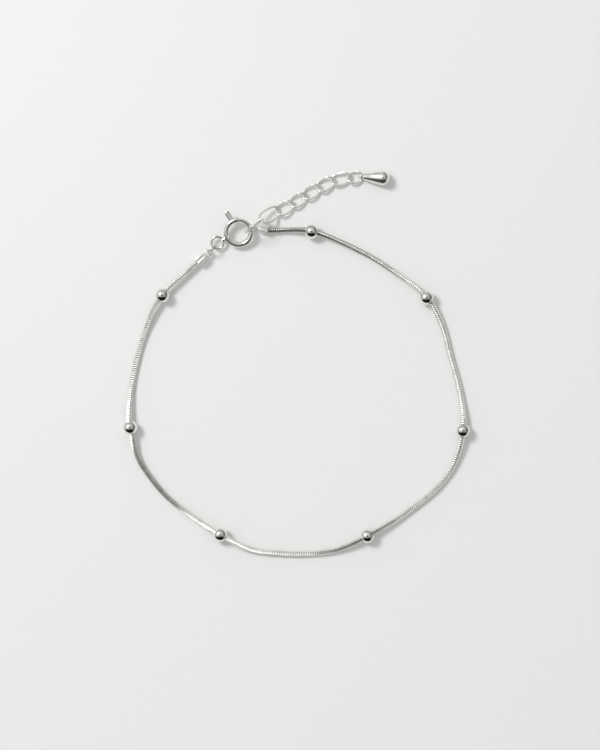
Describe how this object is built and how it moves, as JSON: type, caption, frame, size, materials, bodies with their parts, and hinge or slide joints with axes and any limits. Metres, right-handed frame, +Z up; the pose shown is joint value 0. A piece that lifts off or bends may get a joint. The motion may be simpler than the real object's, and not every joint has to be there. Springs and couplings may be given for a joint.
{
  "type": "snake chain bracelet with beads and extender",
  "caption": "Fine silver snake chain bracelet with threaded round beads, a spring ring clasp and an extender of links with a teardrop.",
  "frame": {"origin": "middle of the whole bracelet's box, on the surface that it lies on", "axes": "+Z up out of that surface; +Y from the middle of the loop towards its fastening; +X to the right, seen from above with the fastening at the top"},
  "size_m": [0.0568, 0.0632, 0.0045],
  "materials": {
    "silver_snake_chain": "polished, with fine cross ribs",
    "silver_beads": "mirror polished",
    "silver_findings": "polished",
    "silver_drop": "mirror polished"
  },
  "bodies": {
    "bracelet": {"snake_chain": "silver_snake_chain", "bead_1": "silver_beads", "bead_2": "silver_beads", "bead_3": "silver_beads", "bead_4": "silver_beads", "bead_5": "silver_beads", "bead_6": "silver_beads", "bead_7": "silver_beads", "end_cap_left": "silver_findings", "end_cap_right": "silver_findings", "small_ring": "silver_findings", "jump_ring": "silver_findings", "spring_ring": "silver_findings", "extender_link_1": "silver_findings", "extender_link_2": "silver_findings", "extender_link_3": "silver_findings", "extender_link_4": "silver_findings", "extender_link_5": "silver_findings", "extender_link_6": "silver_findings", "extender_link_7": "silver_findings", "drop": "silver_drop"},
    "clasp_tongue": {"clasp_tongue": "silver_findings"}
  },
  "joints": [
    {"name": "clasp_trigger", "type": "hinge", "parent": "bracelet", "child": "clasp_tongue", "pos_m": [-0.00946, 0.02145, 0.00132], "axis": [-0.0443, -0.1674, 0.9849], "range_deg": [0, 55], "stiffness_Nm_per_rad": 0.004}
  ]
}
